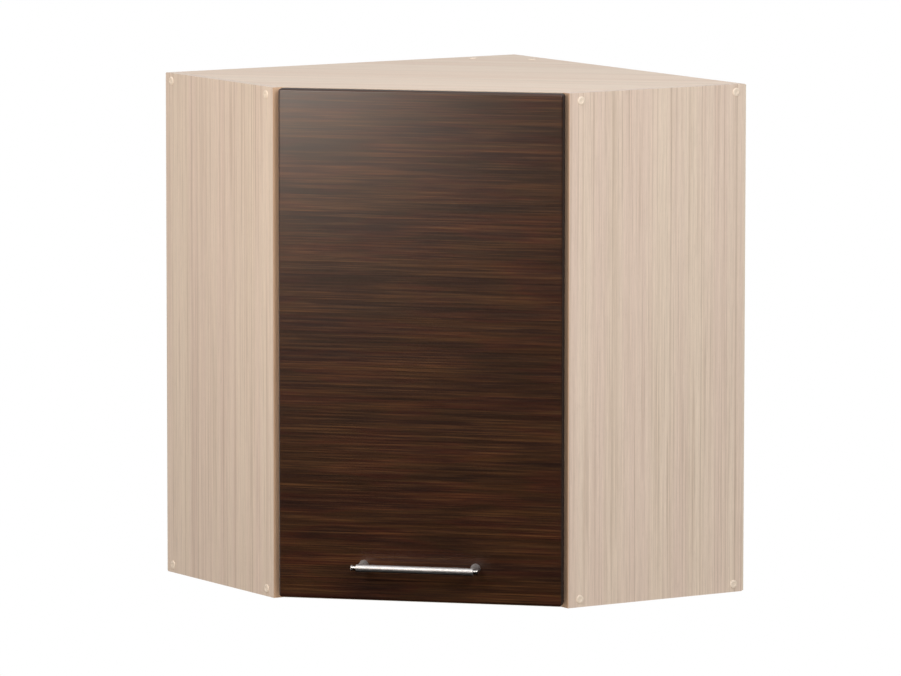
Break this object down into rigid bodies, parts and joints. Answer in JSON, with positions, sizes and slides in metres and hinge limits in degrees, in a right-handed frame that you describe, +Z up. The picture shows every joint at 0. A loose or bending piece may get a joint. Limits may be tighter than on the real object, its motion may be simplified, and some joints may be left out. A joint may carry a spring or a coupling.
{
  "type": "corner wall cabinet",
  "caption": "Diagonal corner wall cabinet with pale carcass, inner shelf, one dark hinged door with a round bar handle, and adjustable hangers at the back.",
  "frame": {"origin": "under the middle of the cabinet's bounding box, level with its base", "axes": "+Z up; the left wall is the plane of the lowest X, the right wall the plane of the highest Y, and the door faces +X and -Y"},
  "size_m": [0.5972, 0.5972, 0.7212],
  "materials": {
    "pale_board": "satin laminate, fine pale grain",
    "side_edge_band": "matt edge band",
    "pale_edge_band": "matt edge band",
    "hardboard": "smooth hardboard",
    "dark_wood": "semi-gloss dark laminate, fine grain across",
    "cap_plastic": "matt",
    "white_plastic": "matt",
    "soft_bumper": "clear soft plastic",
    "satin_metal": "satin",
    "nickel_steel": "nickel plated",
    "zinc_steel": "zinc plated"
  },
  "bodies": {
    "cabinet": {"left_side_panel": "pale_board", "right_side_panel": "pale_board", "top_panel": "pale_board", "bottom_panel": "pale_board", "shelf": "pale_board", "rear_corner_board": "pale_board", "left_side_edge_band": "side_edge_band", "right_side_edge_band": "side_edge_band", "top_edge_band": "pale_edge_band", "bottom_edge_band": "pale_edge_band", "shelf_edge_band": "pale_edge_band", "left_back_panel": "hardboard", "right_back_panel": "hardboard", "assembly_screws": "zinc_steel", "screw_caps": "cap_plastic", "shelf_pins": "zinc_steel", "left_hanger_housing": "white_plastic", "right_hanger_housing": "white_plastic", "hanger_adjusting_screws": "zinc_steel", "hinge_arm_pins": "nickel_steel", "plate_screws": "zinc_steel", "hinge_adjusting_screws": "zinc_steel", "lower_hinge_arm": "nickel_steel", "lower_mounting_plate": "nickel_steel", "upper_hinge_arm": "nickel_steel", "upper_mounting_plate": "nickel_steel"},
    "door": {"door_panel": "dark_wood", "handle_bar": "satin_metal", "handle_end_tips": "satin_metal", "handle_posts": "satin_metal", "handle_screws": "zinc_steel", "door_bumpers": "soft_bumper", "cup_screws": "zinc_steel", "lower_hinge_cup": "nickel_steel", "upper_hinge_cup": "nickel_steel"},
    "upper_outer_link": {"upper_outer_link": "nickel_steel", "upper_outer_link_pin": "nickel_steel"},
    "upper_inner_link": {"upper_inner_link": "nickel_steel", "upper_inner_link_pin": "nickel_steel"},
    "lower_outer_link": {"lower_outer_link": "nickel_steel", "lower_outer_link_pin": "nickel_steel"},
    "lower_inner_link": {"lower_inner_link": "nickel_steel", "lower_inner_link_pin": "nickel_steel"},
    "left_hook": {"left_hanger_hook": "zinc_steel"},
    "right_hook": {"right_hanger_hook": "zinc_steel"}
  },
  "joints": [
    {"name": "door_swing", "type": "hinge", "parent": "cabinet", "child": "door", "pos_m": [0.01383, -0.28564, 0.36], "axis": [0, 0, -1], "range_deg": [0, 95]},
    {"name": "upper_outer_link_swing", "type": "hinge", "parent": "cabinet", "child": "upper_outer_link", "pos_m": [0.02026, -0.25757, 0.6195], "axis": [0, 0, -1], "range_deg": [-2.71, 0]},
    {"name": "upper_inner_link_swing", "type": "hinge", "parent": "cabinet", "child": "upper_inner_link", "pos_m": [0.00336, -0.2616, 0.6195], "axis": [0, 0, -1], "range_deg": [-16.11, 0]},
    {"name": "lower_outer_link_swing", "type": "hinge", "parent": "cabinet", "child": "lower_outer_link", "pos_m": [0.02026, -0.25757, 0.1035], "axis": [0, 0, -1], "range_deg": [-2.71, 0]},
    {"name": "lower_inner_link_swing", "type": "hinge", "parent": "cabinet", "child": "lower_inner_link", "pos_m": [0.00336, -0.2616, 0.1035], "axis": [0, 0, -1], "range_deg": [-16.11, 0]},
    {"name": "left_hook_slide", "type": "slide", "parent": "cabinet", "child": "left_hook", "axis": [-1, 0, 0], "range_m": [0, 0.012]},
    {"name": "right_hook_slide", "type": "slide", "parent": "cabinet", "child": "right_hook", "axis": [0, 1, 0], "range_m": [0, 0.012]}
  ],
  "couplings": [
    {"joint": "upper_outer_link_swing", "follows": "door_swing", "ratio": -0.028},
    {"joint": "upper_inner_link_swing", "follows": "door_swing", "ratio": -0.169},
    {"joint": "lower_outer_link_swing", "follows": "door_swing", "ratio": -0.028},
    {"joint": "lower_inner_link_swing", "follows": "door_swing", "ratio": -0.169}
  ]
}
